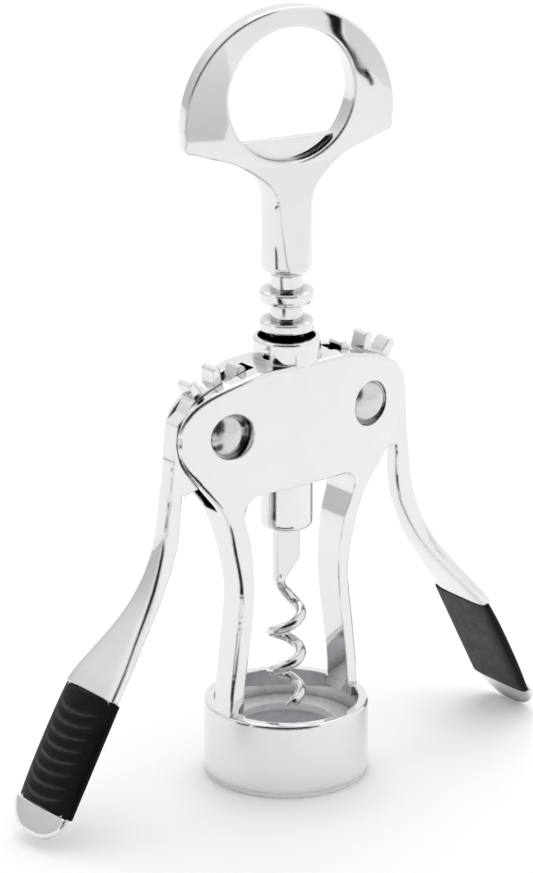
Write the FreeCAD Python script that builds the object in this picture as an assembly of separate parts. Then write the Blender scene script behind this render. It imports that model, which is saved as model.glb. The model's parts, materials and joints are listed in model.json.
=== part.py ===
import FreeCAD, Part
import math
import os

# Wing (lever) corkscrew, millimetres.
# Origin: centre of the bell ring on the surface it stands on. +Z up, wings spread along X, -Y is the front.
V = FreeCAD.Vector
X_AXIS = V(1, 0, 0)
Y_AXIS = V(0, 1, 0)
Z_AXIS = V(0, 0, 1)

# ---- driving dimensions ----
RING_R = 21.0                # bell ring, outside
RING_WALL = 2.6
RING_BOTTOM = 1.8
RING_TOP = 20.0
SEAT_R = 15.0                # bore that drops over the bottle's lip
SEAT_DEPTH = 11.0
SHELF_R = 12.5               # opening above the seat that the cork passes
SHELF_TOP = 13.0
SEAT_GAP = 0.05              # moulded seat inside the ring

PIVOT_X = 21.7
PIVOT_Z = 95.9
PIVOT_R = 2.5                # pivot post radius
RUN = 0.05                   # radial running clearance of posts and spindle
PLATE_TOP = 111.1
PLATE_DEPTH = 8.5            # half depth of the body on the centre line
PLAN_ARC = 125.0             # plan radius of the front and back faces
COLLAR_R = 8.52
COLLAR_TOP = 116.6
MOUTH_R = 7.31               # bore at the collar's mouth
BORE_R = 7.1                 # bore the rack slides in
MOUTH_DEPTH = 6.0
WINDOW_TOP = 79.2
SLOT_HALF = 2.65
LEVER_HALF = 2.45
RECESS_R = 5.9
RECESS_FLOOR = 4.9           # |y| of the rivet recess floor
HEAD_R = 5.25                # rivet head radius

TOOTH_COUNT = 13             # teeth of the full gear circle that the lever carries part of
RACK_PITCH = 7.7
TOOTH_TIP_R = 17.3
TOOTH_ROOT_R = 13.0
TOOTH_STEP = 360.0 / TOOTH_COUNT
TOOTH_FIRST = 55.7           # angle of the first tooth, from +X about the pivot, centred in its gap's play
TOOTH_MADE = 6

RACK_R = 6.87
RACK_CORE_R = 4.1
RACK_RINGS = 6
RACK_FIRST_TOP = 128.65
RACK_RING_THICK = 3.6
RACK_TOP = 132.8
RACK_BOTTOM = 84.0
WASHER_THICK = 0.6
SPINDLE_R = 2.0

STEM_R = 6.5
STEM_BOTTOM = RACK_TOP + WASHER_THICK
HEAD_TURN = -11.4            # the handle's turn about Z at rest, degrees
HEAD_Z = 171.9               # centre of the outer arc
HEAD_ARC_R = 28.6
HEAD_HALF = 3.0              # half thickness at the hole
LENS_R = 220.0               # crown of the head's front and back faces
HOLE_Z = 178.5
HOLE_R = 16.9
LIP_TOP = 167.0              # straight edge of the cap lifter lip

HUB_R = 6.65
HUB_TOP = RACK_BOTTOM - WASHER_THICK
HUB_BOTTOM = 66.4
WORM_R = 3.7                 # centre line radius of the worm
WIRE_R = 1.4
WORM_PITCH = 10.7
WORM_TOP = 44.2              # the round turns run from here down to WORM_BOTTOM
WORM_BOTTOM = 19.7
WORM_TOP_ANGLE = 9.8         # where they start, from +X
WORM_STEP = 30.0             # between the centre line's points, degrees
POINT_SWEEP = 45.0           # the ground point's share of a turn, degrees
WORM_LEAD = [(-1.8, 0, 53.6), (-1.5, 0.5, 51.2), (0.1, 1.9, 48.6)]   # centre line from the web down
WEB_FOOT = 51.6
WEB_HALF_WIDTH = 3.15
WEB_HALF_THICK = 1.25
WEB_TOP = 72.5
PIN_R = 1.25
STEM_PIN_Z = 142.0
STEM_PIN_END = 5.3
HUB_PIN_Z = 78.0
SPINDLE_BOTTOM = 73.0
SPINDLE_TOP = 150.0

LEFT_OPEN = 0.0              # play lets the two wings rest at slightly different angles, degrees
RIGHT_OPEN = -1.9

# Lever arm, from the pivot, closed against the body: outer point, inner point, half width.
ARM_STATIONS = [
    ((15.4, -4.5), (10.5, -6.0), 2.45),
    ((16.2, -10.9), (11.4, -11.8), 2.45),
    ((17.6, -20.9), (12.7, -21.8), 2.45),
    ((19.0, -27.4), (14.0, -28.8), 2.6),
    ((21.0, -33.2), (16.6, -34.8), 3.1),
    ((23.9, -39.0), (20.1, -40.9), 3.9),
    ((27.7, -44.4), (24.5, -46.7), 5.2),
    ((31.9, -49.5), (29.1, -51.9), 7.0),
    ((36.0, -54.2), (33.4, -56.6), 8.8),
    ((40.0, -59.0), (37.5, -61.2), 10.0),
    ((45.0, -68.0), (42.4, -69.6), 10.5),
    ((50.0, -77.1), (47.5, -78.3), 10.6),
    ((55.0, -86.1), (52.6, -87.0), 10.6)]
# Past the grip: run from its end, half width, share of the blade's thickness.
TIP_STATIONS = [(2.9, 10.1, 1.0), (5.1, 8.5, 0.95), (6.7, 6.3, 0.85), (7.5, 4.2, 0.7), (7.85, 2.2, 0.5)]
SQUARENESS = 4.5             # power of the arm's rounded-rectangle section; 2 is an ellipse
GRIP_START_OUTER, GRIP_START_INNER, _ = ARM_STATIONS[9]
GRIP_END_OUTER, GRIP_END_INNER, _ = ARM_STATIONS[12]
GRIP_LENGTH = math.dist(GRIP_START_OUTER, GRIP_END_OUTER)
GRIP_HALF = 10.6             # half width of the paddle
GRIP_PROUD = 0.1             # the soft sleeve stands this far past the paddle's sides
GRIP_CROWN = 1.0             # and this far past its outer face
GRIP_GAP = 0.15              # gap between the sleeve's ends and the metal
TANG_CUT = 0.75              # how far the blade is let in under the grip, each face
TANG_HALF = 8.6

POST_BORE_R = 1.2            # socket in the rivet's post that its plug is pressed into
POST_BORE_TOP = 3.5
PLUG_TOP = 3.0
HEAD_RISE = 1.9              # middle of the rivet head above the recess floor
HEAD_EDGE = 0.35             # and its edge
NECK_Z = 150.0               # where the turned stem meets the head
SPARE = 12                   # cutting shapes reach this far each side of the body


def cylinder(radius, z0, z1):
    return Part.makeCylinder(radius, z1 - z0, V(0, 0, z0), Z_AXIS)


def cross_cylinder(radius, y0, y1, x=PIVOT_X, z=PIVOT_Z):
    return Part.makeCylinder(radius, y1 - y0, V(x, y0, z), Y_AXIS)


def flat_point(x, z):
    return V(x, 0, z)


def spline(points, start=None, end=None):
    """Smooth edge in the XZ plane through points, with optional end directions."""
    curve = Part.BSplineCurve()
    nodes = [flat_point(*p) for p in points]
    if start or end:
        curve.interpolate(Points=nodes, InitialTangent=flat_point(*start), FinalTangent=flat_point(*end))
    else:
        curve.interpolate(nodes)
    return curve.toShape()


def line(a, b):
    return Part.makeLine(flat_point(*a), flat_point(*b))


def slab(edges, half):
    """Solid of a closed XZ outline, from y = -half to +half."""
    face = Part.Face(Part.Wire(Part.__sortEdges__(edges)))
    face.translate(V(0, -half, 0))
    return face.extrude(V(0, 2 * half, 0))


def polygon_slab(points, half):
    closed = points + points[:1]
    return slab([line(a, b) for a, b in zip(closed, closed[1:])], half)


def ring_of(profile):
    """Solid of revolution about Z of a closed (radius, z) polygon."""
    closed = [flat_point(*p) for p in profile + profile[:1]]
    return Part.Face(Part.makePolygon(closed)).revolve(V(0, 0, 0), Z_AXIS, 360)


def mirror_x(shape):
    return shape.mirror(V(0, 0, 0), X_AXIS)


def mirror_y(shape):
    return shape.mirror(V(0, 0, 0), Y_AXIS)


def rounded(shape, radius, wanted):
    """Fillet of the edges for which wanted(edge) holds."""
    return shape.makeFillet(radius, [e for e in shape.Edges if wanted(e)])


def save(name, shape):
    solids = [s for s in shape.Solids if s.Volume > 0.01]
    shape = solids[0] if len(solids) == 1 else Part.makeCompound(solids)
    print(name, "solids", len(solids), "valid", shape.isValid(), "volume %.0f" % shape.Volume)
    shape.exportStep("parts/" + name + ".step")


# ---- body casting ----
def body_half_outline():
    shoulder = [(10, PLATE_TOP), (19, 109.6), (27, 107.1), (32.6, 103.6), (35.4, 99), (35.6, 94),
                (33.6, 88.6), (30.0, 83.9)]
    leg = [(30.0, 83.9), (22.6, 74.0), (19.1, 63.2), (17.35, 54.8), (18.2, 41.5), (19.9, 28),
           (20.6, RING_TOP - 3)]
    foot = (0, RING_TOP - 3)
    slope = (-0.6, -0.8)
    return [line((0, PLATE_TOP), shoulder[0]), spline(shoulder, (1, 0), slope),
            spline(leg, slope, (0.05, -1)), line(leg[-1], foot), line(foot, (0, PLATE_TOP))]


def window_half():
    corner = 4.2
    top_half = 17.3
    side = [(top_half, WINDOW_TOP - corner), (15.4, 68), (14.0, 61), (13.45, 54.8), (14.4, 41.5), (16.2, 28),
            (16.9, RING_TOP - 4)]
    bend = corner * (1 - math.sqrt(0.5))        # from the corner of the square to the middle of the arc
    arc = Part.Arc(flat_point(top_half - corner, WINDOW_TOP),
                   flat_point(top_half - bend, WINDOW_TOP - bend),
                   flat_point(*side[0])).toShape()
    return [line((0, WINDOW_TOP), (top_half - corner, WINDOW_TOP)), arc,
            spline(side, (0, -1), (0.05, -1)), line(side[-1], (0, side[-1][1])),
            line((0, side[-1][1]), (0, WINDOW_TOP))]


def body_depth():
    """The space between the front and back faces, which curve in plan and thin downwards."""
    axis_y = PLAN_ARC - PLATE_DEPTH
    depths = [(95, PLATE_DEPTH), (88, 8.35), (79.6, 7.85), (73, 6.75), (65, 5.65), (54.8, 5.15), (40, 5.2),
              (10, 5.4)]
    inner = axis_y - 30
    points = [V(0, -d, z) for z, d in depths]
    curve = Part.BSplineCurve()
    curve.interpolate(Points=points, InitialTangent=V(0, 0, -1), FinalTangent=V(0, -0.01, -1))
    top = V(0, -PLATE_DEPTH, PLATE_TOP + 1)
    back_top = V(0, axis_y - inner, PLATE_TOP + 1)
    back_low = V(0, axis_y - inner, 10)
    wire = Part.Wire([Part.makeLine(back_low, back_top), Part.makeLine(back_top, top),
                      Part.makeLine(top, points[0]), curve.toShape(), Part.makeLine(points[-1], back_low)])
    face = Part.Face(wire)
    face.rotate(V(0, axis_y, 0), Z_AXIS, -20)
    front = face.revolve(V(0, axis_y, 0), Z_AXIS, 40)
    return front.common(mirror_y(front))


def frame_casting():
    half = slab(body_half_outline(), SPARE)
    blank = half.fuse(mirror_x(half)).removeSplitter().common(body_depth())
    blank = rounded(blank, 0.9, lambda e: abs(e.CenterOfMass.y) > 1 and e.Length > 8
                    and e.BoundBox.ZMin > RING_TOP - 4)
    window = slab(window_half(), SPARE)
    collar = rounded(cylinder(COLLAR_R, 98, COLLAR_TOP), 0.6,
                     lambda e: e.BoundBox.ZMin > COLLAR_TOP - 0.01)
    ring = cylinder(RING_R, RING_BOTTOM, RING_TOP)
    ring = rounded(ring, 0.8, lambda e: e.BoundBox.ZMin > RING_TOP - 0.01)
    well = cylinder(RING_R - RING_WALL, 0, RING_TOP + 0.5)
    body = blank.cut(window).cut(mirror_x(window)).fuse(collar).fuse(ring)
    body = body.cut(well.common(cylinder(RING_R, 0, RING_TOP - 2.6))).cut(ring_mouth())
    body = body.cut(cylinder(BORE_R, 60, COLLAR_TOP + 1))
    body = body.cut(cylinder(MOUTH_R, COLLAR_TOP - MOUTH_DEPTH, COLLAR_TOP + 1))
    for shape in lever_slot():
        body = body.cut(shape).cut(mirror_x(shape))
    for side in (PIVOT_X, -PIVOT_X):
        body = body.cut(cross_cylinder(PIVOT_R, -SPARE, SPARE, side))
        body = body.cut(cross_cylinder(RECESS_R, RECESS_FLOOR, SPARE, side))
        body = body.cut(cross_cylinder(RECESS_R, -SPARE, -RECESS_FLOOR, side))
    return body.removeSplitter()


def ring_mouth():
    """The open mouth of the ring between the two legs, which stand on its wall."""
    mouth = cylinder(RING_R - RING_WALL, RING_TOP - 4, RING_TOP + 0.5)
    legs = Part.makeBox(2 * RING_R, 10.8, 10, V(-RING_R, -5.4, RING_TOP - 5))
    gap = Part.makeBox(33.8, 12, 12, V(-16.9, -6, RING_TOP - 6))
    return mouth.cut(legs.cut(gap))


def lever_slot():
    swing = cross_cylinder(TOOTH_TIP_R + 0.6, -SLOT_HALF, SLOT_HALF)
    outlet = polygon_slab([(13, WINDOW_TOP - 1.6), (17.2, WINDOW_TOP - 1.6), (24, 75.2), (45, 62), (45, 120),
                           (13, 120)], SLOT_HALF)
    return [swing, outlet]


def bottle_seat():
    outer = RING_R - RING_WALL - SEAT_GAP
    flange = RING_R - 0.6
    profile = [(SEAT_R, 0), (flange - 0.5, 0), (flange, 0.5), (flange, RING_BOTTOM), (outer, RING_BOTTOM),
               (outer, SHELF_TOP), (SHELF_R, SHELF_TOP), (SHELF_R, SEAT_DEPTH), (SEAT_R, SEAT_DEPTH)]
    return ring_of(profile)


# ---- pivots ----
def rivet_head(sign, side):
    """Domed head that fills the recess, seen from outside."""
    dome = HEAD_RISE - HEAD_EDGE
    dome_r = (HEAD_R ** 2 + dome ** 2) / (2 * dome)
    head = cylinder(HEAD_R, 0, HEAD_RISE).common(Part.makeSphere(dome_r, V(0, 0, HEAD_RISE - dome_r)))
    head.rotate(V(0, 0, 0), X_AXIS, -90 * sign)
    head.translate(V(side, sign * RECESS_FLOOR, PIVOT_Z))
    return head


def pivot_post(side):
    """Rear half of the press rivet: head and hollow post."""
    post = cross_cylinder(PIVOT_R, -RECESS_FLOOR, RECESS_FLOOR, side)
    socket = cross_cylinder(POST_BORE_R, -RECESS_FLOOR, POST_BORE_TOP, side)
    return post.fuse(rivet_head(1, side)).cut(socket).removeSplitter()


def pivot_cap(side):
    """Front half of the press rivet: head and plug."""
    plug = cross_cylinder(POST_BORE_R, -RECESS_FLOOR, PLUG_TOP, side)
    return rivet_head(-1, side).fuse(plug).removeSplitter()


# ---- levers, modelled on the +X side ----
def grip_direction():
    dx = GRIP_END_OUTER[0] - GRIP_START_OUTER[0]
    dz = GRIP_END_OUTER[1] - GRIP_START_OUTER[1]
    return dx / GRIP_LENGTH, dz / GRIP_LENGTH


def along(point, run, out=0.0):
    """Point moved along the grip and outward, square to it."""
    ux, uz = grip_direction()
    return point[0] + ux * run - uz * out, point[1] + uz * run + ux * out


def at_pivot(points):
    return [(PIVOT_X + x, PIVOT_Z + z) for x, z in points]


def arm_section(outer, inner, half_width, squareness=SQUARENESS):
    """Rounded-rectangle wire between an outer and an inner point, half_width each way along Y."""
    steps = 28
    middle = [(a + b) / 2 for a, b in zip(outer, inner)]
    reach = [(a - b) / 2 for a, b in zip(outer, inner)]
    points = []
    for k in range(steps):
        angle = 2 * math.pi * k / steps
        across = math.copysign(abs(math.cos(angle)) ** (2 / squareness), math.cos(angle))
        through = math.copysign(abs(math.sin(angle)) ** (2 / squareness), math.sin(angle))
        points.append(V(PIVOT_X + middle[0] + reach[0] * through, half_width * across,
                        PIVOT_Z + middle[1] + reach[1] * through))
    curve = Part.BSplineCurve()
    curve.interpolate(Points=points, PeriodicFlag=True)
    return Part.Wire(curve.toShape())


def arm_body():
    """Strap, paddle and round tip, lofted through their sections."""
    sections = [arm_section(*station) for station in ARM_STATIONS]
    middle = [(a + b) / 2 for a, b in zip(GRIP_END_OUTER, GRIP_END_INNER)]
    half = math.dist(GRIP_END_OUTER, GRIP_END_INNER) / 2
    for run, half_width, share in TIP_STATIONS:
        outer = along(middle, run, half * share)
        inner = along(middle, run, -half * share)
        sections.append(arm_section(outer, inner, half_width, 3.2))
    return Part.makeLoft(sections, True, False)


def gear_sector():
    hub = cross_cylinder(TOOTH_ROOT_R, -LEVER_HALF, LEVER_HALF)
    joint = at_pivot([(4.5, -12.2), (11.7, -14.2), (15.6, -12), (14.9, -4), (14.0, 4.4), (11, 6.9)])
    gear = hub.fuse(polygon_slab(joint, LEVER_HALF))
    flank = [(TOOTH_ROOT_R - 1.5, 1.45), (TOOTH_ROOT_R + 0.5, 1.3), (TOOTH_TIP_R - 0.6, 1.05),
             (TOOTH_TIP_R, 0.5)]
    for k in range(TOOTH_MADE):
        angle = TOOTH_FIRST + k * TOOTH_STEP
        tooth = polygon_slab([(r, -w) for r, w in flank] + flank[::-1], LEVER_HALF)
        tooth.rotate(V(0, 0, 0), Y_AXIS, -angle)
        tooth.translate(flat_point(PIVOT_X, PIVOT_Z))
        gear = gear.fuse(tooth)
    return gear.removeSplitter()


def grip_block(outer_out, inner_out, half, start, stop):
    """Slab along the grip, between run start and stop, proud of the blade's faces."""
    corners = [along(GRIP_START_OUTER, start, outer_out), along(GRIP_START_OUTER, stop, outer_out),
               along(GRIP_START_INNER, stop, -inner_out), along(GRIP_START_INNER, start, -inner_out)]
    return polygon_slab(at_pivot(corners), half)


def lever():
    """Arm, tang and tip in one casting, with its gear sector."""
    arm = arm_body()
    sleeve_space = grip_block(6, 6, 20, 0, GRIP_LENGTH)
    tang = grip_block(-TANG_CUT, -TANG_CUT, TANG_HALF, -1.5, GRIP_LENGTH + 1.5)
    arm = arm.cut(sleeve_space).fuse(tang)
    return arm.fuse(gear_sector()).cut(cross_cylinder(PIVOT_R + RUN, -SPARE, SPARE)).removeSplitter()


def grip():
    """Soft sleeve moulded round the tang, crowned on its outer face."""
    half = GRIP_HALF + GRIP_PROUD
    sleeve = grip_block(GRIP_CROWN, 0.25, half, GRIP_GAP, GRIP_LENGTH - GRIP_GAP)
    sleeve = rounded(sleeve, 1.1, lambda e: abs(abs(e.CenterOfMass.y) - half) < 0.01
                     and e.Length > GRIP_LENGTH / 2)
    tang = grip_block(-TANG_CUT, -TANG_CUT, TANG_HALF, -3, GRIP_LENGTH + 3)
    return sleeve.cut(tang)


def place_wing(shape, open_angle, left):
    turned = shape.copy()
    turned.rotate(flat_point(PIVOT_X, PIVOT_Z), Y_AXIS, -open_angle)
    return mirror_x(turned) if left else turned


# ---- rack, handle and screw ----
def rack_sleeve():
    parts = cylinder(RACK_CORE_R, RACK_BOTTOM, RACK_TOP)
    soft = 1.3
    for k in range(RACK_RINGS):
        top = RACK_FIRST_TOP - k * RACK_PITCH
        low = top - RACK_RING_THICK
        ring = ring_of([(0, low), (RACK_R - soft, low), (RACK_R - 0.35 * soft, low + 0.35 * soft),
                        (RACK_R, low + soft), (RACK_R, top - 0.4), (RACK_R - 0.4, top), (0, top)])
        parts = parts.fuse(ring)
    return parts.cut(cylinder(SPINDLE_R + RUN, RACK_BOTTOM - 1, RACK_TOP + 1)).removeSplitter()


def washer(z0):
    return cylinder(RACK_CORE_R, z0, z0 + WASHER_THICK).cut(cylinder(SPINDLE_R + RUN, z0 - 1, z0 + 2))


def handle_outline():
    """Half of the head's front view: outer arc, short side, swept underside, stem."""
    arc_start = (0, HEAD_Z + HEAD_ARC_R)
    side_top = (HEAD_ARC_R, HEAD_Z)
    mid = (HEAD_ARC_R * math.sin(math.radians(45)), HEAD_Z + HEAD_ARC_R * math.cos(math.radians(45)))
    side_low = (HEAD_ARC_R - 0.3, 168.0)
    corner_mid = (HEAD_ARC_R - 0.8, 166.7)
    corner = (HEAD_ARC_R - 2.0, 166.3)
    under = [corner, (22.5, 165.0), (16.8, 163.2), (12.6, 160.9), (8.8, 157.6), (7.0, 154.4),
             (STEM_R, NECK_Z)]
    foot = (0, NECK_Z)
    return [Part.Arc(flat_point(*arc_start), flat_point(*mid), flat_point(*side_top)).toShape(),
            line(side_top, side_low),
            Part.Arc(flat_point(*side_low), flat_point(*corner_mid), flat_point(*corner)).toShape(),
            spline(under, (-1, -0.18), (0, -1)), line(under[-1], foot), line(foot, arc_start)]


def handle_depth():
    """Lens of the head, full at the hole and thin at the rim, and the wedge that thickens into the stem."""
    centre_y = LENS_R * math.cos(math.asin(HOLE_R / LENS_R)) - HEAD_HALF
    front = Part.makeSphere(LENS_R, V(0, centre_y, HOLE_Z), Y_AXIS)
    dish = front.common(mirror_y(front))
    side = [(1.5, 164.5), (2.85, 160.8), (3.5, 158.9), (4.5, 156.6), (5.9, 136.0), (6.6, 132.5), (6.6, 131.0)]
    closed = [V(-40, -y, z) for y, z in side] + [V(-40, y, z) for y, z in reversed(side)]
    wedge = Part.Face(Part.makePolygon(closed + closed[:1])).extrude(V(80, 0, 0))
    return dish.fuse(wedge)


def on_hole_rim(edge):
    """True for the front and back edges of the head's hole, not for its seam."""
    middle = edge.valueAt((edge.FirstParameter + edge.LastParameter) / 2)
    radius = math.hypot(middle.x, middle.z - HOLE_Z)
    return abs(radius - HOLE_R) < 0.01 and abs(middle.y) > HEAD_HALF - 0.2


def on_outer_rim(edge):
    """True for the long arcs between the head's rim and its faces, not for the faces' seams."""
    long_arc = edge.Length > HEAD_ARC_R and edge.BoundBox.ZMax > HEAD_Z + 0.9 * HEAD_ARC_R
    return long_arc and 1 < abs(edge.CenterOfMass.y) < HEAD_HALF


def handle():
    """Head with cap lifter, neck and stem in one casting."""
    half = Part.Face(Part.Wire(Part.__sortEdges__(handle_outline())))
    head = half.revolve(V(0, 0, 0), Z_AXIS, 360)
    stem = rounded(cylinder(STEM_R, STEM_BOTTOM, NECK_Z), 1.7, lambda e: e.BoundBox.ZMax < STEM_BOTTOM + 0.01)
    shape = head.fuse(stem).removeSplitter().common(handle_depth())
    shape = rounded(shape, 0.5, on_outer_rim)
    hole = cross_cylinder(HOLE_R, -SPARE, SPARE, 0, HOLE_Z)
    shape = rounded(shape.cut(hole), 0.7, on_hole_rim)
    lip_block = Part.makeBox(2 * HOLE_R + 3, 2.7, 12, V(-HOLE_R - 1.5, -0.4, LIP_TOP - 12))
    lip = lip_block.common(cross_cylinder(HOLE_R + 0.8, -SPARE, SPARE, 0, HOLE_Z))
    shape = shape.fuse(lip)
    shape = shape.cut(cylinder(SPINDLE_R, STEM_BOTTOM - 1, NECK_Z))
    shape = shape.cut(Part.makeCylinder(PIN_R, 12, V(0, 0, STEM_PIN_Z), Y_AXIS)).removeSplitter()
    shape.rotate(V(0, 0, 0), Z_AXIS, HEAD_TURN)
    return shape


def pin_shape(z, y0, y1):
    pin = Part.makeCylinder(PIN_R, y1 - y0, V(0, y0, z), Y_AXIS)
    pin.rotate(V(0, 0, 0), Z_AXIS, HEAD_TURN)
    return pin


def spindle():
    rod = cylinder(SPINDLE_R, SPINDLE_BOTTOM, SPINDLE_TOP)
    for z in (STEM_PIN_Z, HUB_PIN_Z):
        rod = rod.cut(pin_shape(z, -3, 7))
    return rod


def worm_hub():
    hub = rounded(cylinder(HUB_R, HUB_BOTTOM, HUB_TOP), 1.5, lambda e: e.BoundBox.ZMax < HUB_BOTTOM + 0.01)
    hub = rounded(hub, 0.5, lambda e: e.BoundBox.ZMin > HUB_TOP - 0.01)
    hub = hub.cut(cylinder(SPINDLE_R, SPINDLE_BOTTOM, HUB_TOP + 1)).cut(worm_web())
    return hub.cut(pin_shape(HUB_PIN_Z, -2, 12))


def worm_web():
    """Flat top of the worm that the hub grips, cut aslant where the wire leaves it."""
    w = WEB_HALF_WIDTH
    edges = [(-w, WEB_FOOT), (-0.9, WEB_FOOT), (-0.6, 52.6), (w, 57.7), (w, WEB_TOP), (-w, WEB_TOP)]
    web = polygon_slab(edges, WEB_HALF_THICK)
    web.rotate(V(0, 0, 0), Z_AXIS, HEAD_TURN)
    return web


def helix_place(turned):
    """Point of the worm's centre line, so many degrees of turn below its top."""
    angle = math.radians(WORM_TOP_ANGLE - turned)
    return V(WORM_R * math.cos(angle), WORM_R * math.sin(angle), WORM_TOP - WORM_PITCH * turned / 360.0)


def worm():
    """Right-handed open helix of round wire led out of its flat top, with a ground point."""
    turn = 360.0 * (WORM_TOP - WORM_BOTTOM) / WORM_PITCH
    steps = round(turn / WORM_STEP)
    lead = [Part.Vertex(V(*place)) for place in WORM_LEAD]
    for vertex in lead:
        vertex.rotate(V(0, 0, 0), Z_AXIS, HEAD_TURN)
    path = Part.BSplineCurve()
    path.interpolate([v.Point for v in lead] + [helix_place(turn * n / steps) for n in range(steps + 1)])
    way = path.tangent(path.FirstParameter)[0]
    section = Part.Wire(Part.makeCircle(WIRE_R, lead[0].Point, way))
    coil = Part.Wire(path.toShape()).makePipeShell([section], True, False)
    end = helix_place(turn)
    point = Part.makeCone(WIRE_R, 0.15, WORM_R * math.radians(POINT_SWEEP), end,
                          helix_place(turn + POINT_SWEEP) - end)
    ball = Part.makeSphere(WIRE_R, end)
    return coil.fuse(ball).fuse(point).fuse(worm_web()).removeSplitter()


def main():
    os.makedirs("parts", exist_ok=True)
    save("frame_casting", frame_casting())
    save("bottle_seat", bottle_seat())
    one_lever = lever()
    one_grip = grip()
    wings = (("left", True, LEFT_OPEN, -PIVOT_X), ("right", False, RIGHT_OPEN, PIVOT_X))
    for name, left, open_angle, side in wings:
        save(name + "_lever", place_wing(one_lever, open_angle, left))
        save(name + "_grip", place_wing(one_grip, open_angle, left))
        save(name + "_pivot_post", pivot_post(side))
        save(name + "_pivot_cap", pivot_cap(side))
    save("rack_sleeve", rack_sleeve())
    save("upper_washer", washer(RACK_TOP))
    save("lower_washer", washer(RACK_BOTTOM - WASHER_THICK))
    save("handle", handle())
    save("spindle", spindle())
    save("stem_pin", pin_shape(STEM_PIN_Z, -SPINDLE_R, STEM_PIN_END))
    save("worm_hub", worm_hub())
    save("hub_pin", pin_shape(HUB_PIN_Z, -SPINDLE_R, HUB_R - 0.3))
    save("worm", worm())


main()
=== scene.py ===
import json
import math

import bmesh
import bpy
import numpy as np
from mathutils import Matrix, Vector

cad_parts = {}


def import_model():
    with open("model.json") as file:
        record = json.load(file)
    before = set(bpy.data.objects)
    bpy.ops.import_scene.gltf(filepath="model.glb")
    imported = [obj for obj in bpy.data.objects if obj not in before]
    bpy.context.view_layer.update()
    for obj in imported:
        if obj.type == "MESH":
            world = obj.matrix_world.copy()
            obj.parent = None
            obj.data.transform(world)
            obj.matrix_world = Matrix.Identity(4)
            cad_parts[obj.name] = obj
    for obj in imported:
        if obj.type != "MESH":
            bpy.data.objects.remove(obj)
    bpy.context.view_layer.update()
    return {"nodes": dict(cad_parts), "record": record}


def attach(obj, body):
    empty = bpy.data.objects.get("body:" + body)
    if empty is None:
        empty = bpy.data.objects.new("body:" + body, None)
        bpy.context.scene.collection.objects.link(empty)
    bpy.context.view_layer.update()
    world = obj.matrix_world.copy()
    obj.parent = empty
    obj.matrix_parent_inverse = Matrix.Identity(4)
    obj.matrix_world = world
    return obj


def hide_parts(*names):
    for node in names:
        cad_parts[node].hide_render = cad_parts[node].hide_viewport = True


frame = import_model()
nodes = frame["nodes"]

# ---- camera and studio, metres ----
CAMERA_TURN = math.radians(-37.35)      # round from the front, towards the left
CAMERA_RISE = math.radians(18.99)
CAMERA_AWAY = 1.162
AIM_HEIGHT = 0.0898
AIM_RIGHT = -0.0050
LENS_MM = 191.5
CAMERA_BACK = (math.sin(CAMERA_TURN) * math.cos(CAMERA_RISE), -math.cos(CAMERA_TURN) * math.cos(CAMERA_RISE),
               math.sin(CAMERA_RISE))
FLOOR_R = 3.2
KEY_PLACE = (0.5, 0.6, 1.2)
KEY_AIM = (0, 0, 0.05)
KEY_SIZE = (0.9, 0.9)
KEY_WATTS = 3.6

# What only shiny faces see: brightness of the world's darker patches, and of the cards.
DARK = 0.01
STAND_EDGE = 0.68                       # cosine of the half width of the dark patch round the camera
STAND_SOFT = 0.05
STAND_LEVEL = 0.015
WALL_TURN = math.radians(-143)          # middle of the greyer wall, round from the front
WALL_EDGE = (0.70, 0.85)                # cosines between which it fades in
WALL_TOP = 0.80                         # sine of the height at which it has faded out
WALL_BOTTOM = 0.02
WALL_LEVEL = 0.62
CARD_LIFT = 0.002                       # cards that lie on the table
PANEL_AWAY = 0.3                        # standing cards, from the middle

PAINTED_SHADE_GAP = 0.007                          # painted shade: gaps narrower than about this are painted darker
PAINTED_SHADE_OPEN = (0.15, 0.62)              # how open the darkest places of the painted shade are, and the fully bright ones
# darkest colour factor of the painted shade
PAINTED_SHADE_LEVEL = 0.06
EDGE_R = 0.0007                         # softness of the castings' sharp edges


# ---- node helpers ----
class Nodes:
    """Short way to lay out a material's nodes."""

    def __init__(self, name):
        self.material = bpy.data.materials.new(name)
        self.material.use_nodes = True
        self.tree = self.material.node_tree
        self.shader = self.tree.nodes["Principled BSDF"]
        self.place = self.add("ShaderNodeTexCoord").outputs["Object"]

    def add(self, kind, **settings):
        node = self.tree.nodes.new(kind)
        for key, value in settings.items():
            setattr(node, key, value)
        return node

    def put(self, node, socket, value):
        if isinstance(value, bpy.types.NodeSocket):
            self.tree.links.new(value, node.inputs[socket])
        else:
            node.inputs[socket].default_value = value

    def noise(self, scale, detail=3.0, rough=0.5, stretch=None):
        source = self.place
        if stretch:
            squeeze = self.add("ShaderNodeMapping")
            self.put(squeeze, "Vector", source)
            squeeze.inputs["Scale"].default_value = stretch
            source = squeeze.outputs["Vector"]
        node = self.add("ShaderNodeTexNoise")
        self.put(node, "Vector", source)
        node.inputs["Scale"].default_value = scale
        node.inputs["Detail"].default_value = detail
        node.inputs["Roughness"].default_value = rough
        return node.outputs["Fac"]

    def span(self, fac, low, high, start=0.0, stop=1.0):
        """fac from start..stop carried to low..high."""
        node = self.add("ShaderNodeMapRange")
        self.put(node, "Value", fac)
        node.inputs["From Min"].default_value = start
        node.inputs["From Max"].default_value = stop
        node.inputs["To Min"].default_value = low
        node.inputs["To Max"].default_value = high
        return node.outputs["Result"]

    def ramp(self, fac, stops):
        node = self.add("ShaderNodeValToRGB")
        self.put(node, "Fac", fac)
        elements = node.color_ramp.elements
        while len(elements) < len(stops):
            elements.new(0.5)
        for element, (at, colour) in zip(elements, stops):
            element.position = at
            element.color = (*colour, 1)
        return node.outputs["Color"]

    def bump(self, height, distance, strength=1.0, under=None):
        node = self.add("ShaderNodeBump")
        self.put(node, "Height", height)
        node.inputs["Strength"].default_value = strength
        node.inputs["Distance"].default_value = distance
        if under:
            self.put(node, "Normal", under)
        return node.outputs["Normal"]


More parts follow.
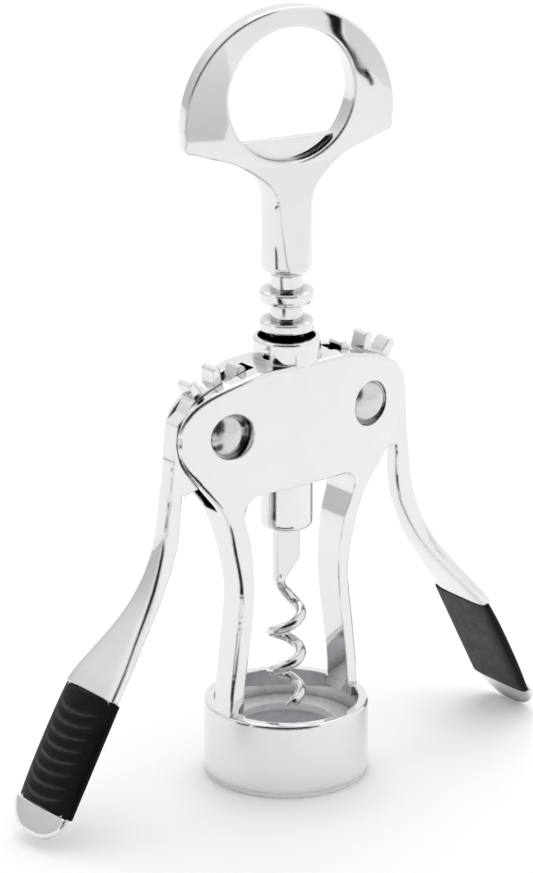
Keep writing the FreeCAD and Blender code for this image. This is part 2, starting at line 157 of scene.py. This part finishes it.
def chrome(name, tint, rough, wave=0.00006, wave_scale=90.0):
    """Polished plate: faint haze and wiping marks, slow waviness, and painted shade that darkens the metal
    in narrow gaps.
    """
    m = Nodes(name)
    m.put(m.shader, "Metallic", 1.0)
    haze = m.noise(140.0, 4.0, 0.6)
    bright = m.ramp(haze, [(0.3, [c * 0.97 for c in tint]), (0.7, tint)])
    # painted shade: the base colour is darkened where ambient occlusion finds narrow gaps
    shade_ao = m.add("ShaderNodeAmbientOcclusion", samples=6)
    shade_ao.inputs["Distance"].default_value = PAINTED_SHADE_GAP
    shade = m.add("ShaderNodeMixRGB", blend_type="MULTIPLY")
    shade.inputs["Fac"].default_value = 1.0
    m.put(shade, "Color1", bright)
    shut, clear = PAINTED_SHADE_OPEN
    painted_shade = m.ramp(shade_ao.outputs["AO"], [(shut, [PAINTED_SHADE_LEVEL] * 3), (clear, (1, 1, 1))])
    m.put(shade, "Color2", painted_shade)
    m.put(m.shader, "Base Color", shade.outputs["Color"])
    wipe = m.noise(900.0, 5.0, 0.65, stretch=(1.0, 1.0, 0.12))
    m.put(m.shader, "Roughness", m.span(wipe, rough * 0.6, rough * 1.5, 0.3, 0.7))
    edge = m.add("ShaderNodeBevel", samples=4)
    edge.inputs["Radius"].default_value = EDGE_R
    slow = m.bump(m.noise(wave_scale, 1.0, 0.3), wave, under=edge.outputs["Normal"])
    m.put(m.shader, "Normal", m.bump(m.noise(2600.0, 2.0, 0.5), 0.0000015, 0.6, slow))
    return m.material


def bright_steel(name, tint, rough):
    """Rivet steel: faint mottle and a soft shine."""
    m = Nodes(name)
    m.put(m.shader, "Metallic", 1.0)
    mottle = m.noise(420.0, 4.0, 0.6)
    m.put(m.shader, "Base Color", m.ramp(mottle, [(0.3, [c * 0.9 for c in tint]), (0.7, tint)]))
    m.put(m.shader, "Roughness", m.span(m.noise(1500.0, 3.0), rough * 0.8, rough * 1.3, 0.3, 0.7))
    m.put(m.shader, "Normal", m.bump(m.noise(3200.0, 3.0, 0.6), 0.000002, 0.6))
    return m.material


def soft_rubber(name):
    """Near-black soft grip: pebbled skin, with painted highlights on the ribs' crests and the inner face."""
    m = Nodes(name)
    dust = m.noise(260.0, 5.0, 0.65)
    skin = m.ramp(dust, [(0.35, (0.0020, 0.0015, 0.0017)), (0.75, (0.0060, 0.0048, 0.0050))])
    # painted highlight: paler colour for the ribs' crests and the inner face
    highlit = m.ramp(dust, [(0.30, (0.030, 0.027, 0.027)), (0.75, (0.065, 0.059, 0.058))])
    mix = m.add("ShaderNodeMixRGB")
    m.put(mix, "Fac", m.add("ShaderNodeAttribute", attribute_name="painted_highlight").outputs["Fac"])
    m.put(mix, "Color1", skin)
    m.put(mix, "Color2", highlit)
    m.put(m.shader, "Base Color", mix.outputs["Color"])
    m.put(m.shader, "Roughness", m.span(m.noise(500.0, 4.0), 0.40, 0.55, 0.3, 0.7))
    m.put(m.shader, "Specular IOR Level", 0.12)
    pebble = m.bump(m.noise(5200.0, 2.0, 0.5), 0.000025, 0.5)
    m.put(m.shader, "Normal", m.bump(m.noise(700.0, 3.0), 0.00003, 0.35, pebble))
    return m.material


def moulded(name, tint, rough, through):
    """Natural moulded plastic, slightly cloudy."""
    m = Nodes(name)
    cloud = m.noise(170.0, 4.0, 0.6)
    m.put(m.shader, "Base Color", m.ramp(cloud, [(0.3, [c * 0.93 for c in tint]), (0.7, tint)]))
    m.put(m.shader, "Roughness", m.span(m.noise(600.0, 4.0), rough * 0.8, rough * 1.2, 0.3, 0.7))
    m.put(m.shader, "Subsurface Weight", through)
    m.put(m.shader, "Subsurface Radius", (0.004, 0.004, 0.004))
    m.put(m.shader, "Subsurface Scale", 1.0)
    m.put(m.shader, "Normal", m.bump(m.noise(1800.0, 3.0), 0.00001, 0.5))
    return m.material


def table_top():
    """Pale matt table, faintly uneven. It has no shine, so it doesn't mirror the cards just above it."""
    m = Nodes("table")
    pale = m.ramp(m.noise(3.0, 2.0), [(0.3, (0.94, 0.94, 0.945)), (0.7, (0.97, 0.97, 0.97))])
    m.put(m.shader, "Base Color", pale)
    m.put(m.shader, "Roughness", m.span(m.noise(40.0, 3.0), 0.55, 0.7))
    m.put(m.shader, "Specular IOR Level", 0.0)
    return m.material


CHROME = chrome("chrome_casting", (0.80, 0.80, 0.805), 0.03)
WORM_CHROME = chrome("worm_steel", (0.76, 0.76, 0.77), 0.05, 0.00002, 260.0)
STEEL = bright_steel("rivet_steel", (0.70, 0.685, 0.675), 0.20)
SEAT = moulded("seat_plastic", (0.74, 0.74, 0.77), 0.3, 0.3)
NYLON = moulded("washer_plastic", (0.85, 0.85, 0.84), 0.4, 0.2)
RUBBER = soft_rubber("grip_rubber")
FINISH = {"chrome_casting": CHROME, "worm_steel": WORM_CHROME, "rivet_steel": STEEL,
          "seat_plastic": SEAT, "washer_plastic": NYLON, "grip_rubber": RUBBER}


def dress_frame():
    """Each CAD node takes the finish of its own material slot."""
    slots = {s["node"]: s["material_slot"] for s in frame["record"]["subparts"]}
    for name, obj in nodes.items():
        obj.data.materials.clear()
        obj.data.materials.append(FINISH[slots[name]])


# ---- grips ----
GRIP_ROWS = 170                # mesh steps along the grip
GRIP_AROUND = 132              # mesh steps round the grip
GRIP_SQUARE = 4.2              # power of the section's rounded rectangle
GRIP_CROWN = 0.0017            # how much the outer face's middle stands over its edges
GRIP_PROUD = 0.0003            # how far the crown stands past the CAD block
END_DROP = 0.0007              # the outer face falls this much towards both ends
LIP = 0.0005                   # rounding of the end rims
RIB_COUNT = 8
RIB_FIRST, RIB_LAST = 0.14, 0.87   # along the grip
RIB_SAG = 0.055                # the ribs' middles lie this much nearer the tip
RIB_HEIGHT = 0.00055
RIB_HALF = 0.00085
RIB_REACH = 0.0078             # ribs fade out this far from the middle line
GRIP_SPAN = 0.0307             # the sleeve's length
HIGHLIGHT_CREST = 0.45                   # share of a rib's half width that carries the painted highlight
INNER_HIGHLIGHT = 0.9               # strength of the painted highlight on the inner face
END_BAND = 0.0012              # points this near an end of the CAD block belong to that end


def tube(name, rows):
    """Closed tube through rows of points, with capped ends."""
    mesh = bpy.data.meshes.new(name)
    bm = bmesh.new()
    rings = [[bm.verts.new(p) for p in row] for row in rows]
    count = len(rings[0])
    for a, b in zip(rings, rings[1:]):
        for i in range(count):
            j = (i + 1) % count
            bm.faces.new((a[i], a[j], b[j], b[i]))
    bm.faces.new(rings[0][::-1])
    bm.faces.new(rings[-1])
    bmesh.ops.recalc_face_normals(bm, faces=bm.faces)
    for face in bm.faces:
        face.smooth = len(face.verts) == 4
    bm.to_mesh(mesh)
    bm.free()
    obj = bpy.data.objects.new(name, mesh)
    bpy.context.scene.collection.objects.link(obj)
    return obj


def grip_corners(node):
    """The CAD block's outward direction, half width, and its outer and inner points at each end."""
    mesh = nodes[node].data
    points = np.array([v.co for v in mesh.vertices])
    side = math.copysign(1.0, points[:, 0].mean())
    faces = [f for f in mesh.polygons if f.normal.x * side > 0.5 and abs(f.normal.y) < 0.01]
    out = max(faces, key=lambda f: f.area).normal.copy()
    run = Vector((out.z * side, 0, -out.x * side))
    flat = points @ np.array((run.x, 0, run.z))
    away = points @ np.array((out.x, 0, out.z))
    corners = []
    for chosen in (flat < flat.min() + END_BAND, flat > flat.max() - END_BAND):
        ids = np.nonzero(chosen)[0]
        outer = points[ids[away[ids].argmax()]]
        inner = points[ids[away[ids].argmin()]]
        corners.append((Vector((outer[0], 0, outer[2])), Vector((inner[0], 0, inner[2]))))
    return out, points[:, 1].max(), corners


def rib_lift(along, across):
    """Height of the crescent ribs over the outer face, and the strength of their painted highlight."""
    sag = RIB_SAG * (1 - (across / RIB_REACH) ** 2)
    fade = max(0.0, 1 - (across / RIB_REACH) ** 2) ** 0.6
    pitch = (RIB_LAST - RIB_FIRST) / (RIB_COUNT - 1)
    nearest = min(max(round((along - sag - RIB_FIRST) / pitch), 0), RIB_COUNT - 1)
    off = (along - sag - RIB_FIRST - nearest * pitch) * GRIP_SPAN / RIB_HALF
    if abs(off) >= 1:
        return 0.0, 0.0
    return RIB_HEIGHT * fade * (1 - off * off) ** 1.3, fade * max(0.0, 1 - (off / HIGHLIGHT_CREST) ** 2)


def build_grip(node, body):
    """Ribbed rubber sleeve on the CAD block's corners, paler with painted highlight where its vertices'
    highlight share is high.
    """
    out, half_width, ((outer0, inner0), (outer1, inner1)) = grip_corners(node)
    rows, painted_highlight = [], []
    for k in range(GRIP_ROWS + 1):
        along = k / GRIP_ROWS
        from_end = min(along, 1 - along) * GRIP_SPAN
        lip = LIP * (1 - math.sqrt(max(0.0, 1 - (1 - min(from_end / LIP, 1)) ** 2)))
        outer = outer0.lerp(outer1, along)
        inner = inner0.lerp(inner1, along)
        middle = (outer + inner) / 2
        half = (outer - inner).dot(out) / 2 - GRIP_CROWN / 2
        row = []
        for i in range(GRIP_AROUND):
            angle = 2 * math.pi * i / GRIP_AROUND
            c, d = math.cos(angle), math.sin(angle)
            across = math.copysign(abs(c) ** (2 / GRIP_SQUARE), c) * (half_width - lip)
            through = math.copysign(abs(d) ** (2 / GRIP_SQUARE), d)
            lift = through * (half - lip) - GRIP_CROWN / 2
            # painted highlight on the inner face
            highlight_share = INNER_HIGHLIGHT * max(0.0, -through) ** 4
            if through > 0:
                rib, highlit = rib_lift(along, across)
                # painted highlight on the ribs' crests
                highlight_share = highlit * through ** 8
                crown = (1 - (across / half_width) ** 2) * (GRIP_CROWN + GRIP_PROUD)
                crown -= END_DROP * abs(2 * along - 1) ** 2.5
                lift += through ** 0.5 * crown + through ** 8 * rib
            row.append(middle + out * lift + Vector((0, across, 0)))
            painted_highlight.append(highlight_share)
        rows.append(row)
    grip = tube(node.replace("grip", "rubber_grip"), rows)
    grip.data.materials.append(RUBBER)
    painted_highlight += [0.0] * (len(grip.data.vertices) - len(painted_highlight))
    # vertex attribute that carries the painted highlight share to the material
    grip.data.attributes.new("painted_highlight", "FLOAT", "POINT").data.foreach_set("value", painted_highlight)
    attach(grip, body)
    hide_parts(node)


# ---- floor, light, camera ----
def floor():
    """Round table under everything."""
    bpy.ops.mesh.primitive_circle_add(vertices=96, radius=FLOOR_R, fill_type="NGON", location=(0, 0, 0))
    top = bpy.context.object
    top.name = "table_top"
    top.data.materials.append(table_top())


def area_light(name, place, aim, size, watts):
    """Rectangular lamp at a place, facing its aim."""
    data = bpy.data.lights.new(name, "AREA")
    data.shape = "RECTANGLE"
    data.size, data.size_y = size
    data.energy = watts
    light = bpy.data.objects.new(name, data)
    light.location = place
    light.rotation_euler = (Vector(aim) - Vector(place)).to_track_quat("-Z", "Y").to_euler()
    bpy.context.scene.collection.objects.link(light)


def world():
    """Even white studio. Shiny faces also see a dark patch round the camera and a greyer wall far left."""
    w = bpy.data.worlds.new("studio")
    bpy.context.scene.world = w
    w.use_nodes = True
    t = w.node_tree
    back = t.nodes["Background"]
    back.inputs["Strength"].default_value = 1.0
    place = t.nodes.new("ShaderNodeTexCoord").outputs["Generated"]
    shiny = t.nodes.new("ShaderNodeLightPath").outputs["Is Glossy Ray"]

    def toward(way, start, stop):
        """Share that rises from 0 to 1 as the direction closes in on one way."""
        near = t.nodes.new("ShaderNodeVectorMath")
        near.operation = "DOT_PRODUCT"
        t.links.new(place, near.inputs[0])
        near.inputs[1].default_value = way
        share = t.nodes.new("ShaderNodeMapRange")
        share.interpolation_type = "SMOOTHSTEP"
        t.links.new(near.outputs["Value"], share.inputs["Value"])
        share.inputs["From Min"].default_value = start
        share.inputs["From Max"].default_value = stop
        return share.outputs["Result"]

    def product(a, b):
        both = t.nodes.new("ShaderNodeMath")
        both.operation = "MULTIPLY"
        t.links.new(a, both.inputs[0])
        t.links.new(b, both.inputs[1])
        return both.outputs["Value"]

    def tinted(share, under, level):
        mix = t.nodes.new("ShaderNodeMixRGB")
        t.links.new(product(share, shiny), mix.inputs["Fac"])
        if under is None:
            mix.inputs["Color1"].default_value = (1, 1, 1, 1)
        else:
            t.links.new(under, mix.inputs["Color1"])
        mix.inputs["Color2"].default_value = (level, level, level, 1)
        return mix.outputs["Color"]

    beside = toward((math.sin(WALL_TURN), -math.cos(WALL_TURN), 0), *WALL_EDGE)
    below = toward((0, 0, -1), -WALL_TOP, -WALL_BOTTOM)
    stand = toward(CAMERA_BACK, STAND_EDGE, STAND_EDGE + STAND_SOFT)
    colour = tinted(product(beside, below), None, WALL_LEVEL)
    colour = tinted(stand, colour, STAND_LEVEL)
    t.links.new(colour, back.inputs["Color"])


def card(name, corners, near=DARK, far=DARK):
    """Card that only shiny faces see, its brightness running from its first two corners to its last two."""
    mesh = bpy.data.meshes.new(name)
    mesh.from_pydata([Vector(c) for c in corners], [], [(0, 1, 2, 3)])
    fade = mesh.uv_layers.new(name="fade")
    for loop, v in zip(fade.data, (0, 0, 1, 1)):
        loop.uv = (0, v)
    material = bpy.data.materials.new(name)
    material.use_nodes = True
    t = material.node_tree
    t.nodes.clear()
    place = t.nodes.new("ShaderNodeUVMap")
    place.uv_map = "fade"
    split = t.nodes.new("ShaderNodeSeparateXYZ")
    level = t.nodes.new("ShaderNodeMapRange")
    level.inputs["To Min"].default_value = near
    level.inputs["To Max"].default_value = far
    glow = t.nodes.new("ShaderNodeEmission")
    end = t.nodes.new("ShaderNodeOutputMaterial")
    t.links.new(place.outputs["UV"], split.inputs[0])
    t.links.new(split.outputs["Y"], level.inputs["Value"])
    t.links.new(level.outputs["Result"], glow.inputs["Strength"])
    t.links.new(glow.outputs["Emission"], end.inputs["Surface"])
    mesh.materials.append(material)
    obj = bpy.data.objects.new(name, mesh)
    bpy.context.scene.collection.objects.link(obj)
    obj.visible_camera = obj.visible_diffuse = obj.visible_shadow = obj.visible_transmission = False


def on_floor(x, away):
    """Point on the table, to the right and towards the front of the middle."""
    return (x, -away, CARD_LIFT)


def around(turn, away, height=CARD_LIFT):
    """Point at a compass turn from the front, to the right, and a distance from the middle."""
    turn = math.radians(turn)
    return (math.sin(turn) * away, -math.cos(turn) * away, height)


def panel(turn, height):
    """Point of a standing card."""
    return around(turn, PANEL_AWAY, height)


def cards():
    """The head mirrors the strip and shades, the edges the floor bands, the stem the two standing panels."""
    card("strip_near",
         [on_floor(0.326, 0.60), on_floor(0.335, 0.60), on_floor(0.569, 1.37), on_floor(0.538, 1.37)])
    card("strip_far",
         [on_floor(0.538, 1.37), on_floor(0.569, 1.37), on_floor(0.93, 2.4), on_floor(0.80, 2.4)])
    card("shade_right_near",
         [on_floor(0.334, 0.50), on_floor(0.9, 0.50), on_floor(1.2, 0.757), on_floor(0.376, 0.757)],
         0.90, 0.84)
    card("shade_right_far",
         [on_floor(0.376, 0.757), on_floor(1.2, 0.757), on_floor(2.0, 2.4), on_floor(0.93, 2.4)],
         0.84, 0.68)
    card("shade_left",
         [on_floor(-0.8, 0.46), on_floor(0.022, 0.46), on_floor(0.10, 1.5), on_floor(-0.8, 1.5)],
         0.68, 0.92)
    for name, near, far in (("dark_near", 0.085, 0.17), ("dark_far", 0.285, 0.355)):
        card(name, [around(-80, near), around(-5, near), around(-5, far), around(-80, far)])
    card("dark_panel", [panel(-22, 0.05), panel(-11, 0.05), panel(-11, 0.4), panel(-22, 0.4)])
    card("stem_shade", [panel(-74, 0.034), panel(-40, 0.034), panel(-82, 0.052), panel(-92, 0.052)])


def camera():
    """Long lens on the three-quarter view from the front left."""
    data = bpy.data.cameras.new("camera")
    data.sensor_fit = "AUTO"
    data.sensor_width = 36.0
    data.lens = LENS_MM
    data.clip_end = 20.0
    eye = bpy.data.objects.new("camera", data)
    right = Vector((math.cos(CAMERA_TURN), math.sin(CAMERA_TURN), 0))
    back = Vector(CAMERA_BACK)
    aim = right * AIM_RIGHT + Vector((0, 0, AIM_HEIGHT))
    eye.location = aim + back * CAMERA_AWAY
    eye.rotation_euler = (-back).to_track_quat("-Z", "Y").to_euler()
    bpy.context.scene.collection.objects.link(eye)
    bpy.context.scene.camera = eye


dress_frame()
build_grip("left_grip", "left_wing")
build_grip("right_grip", "right_wing")
floor()
world()
cards()
area_light("key", KEY_PLACE, KEY_AIM, KEY_SIZE, KEY_WATTS)
camera()
bpy.context.scene.view_settings.view_transform = "Standard"
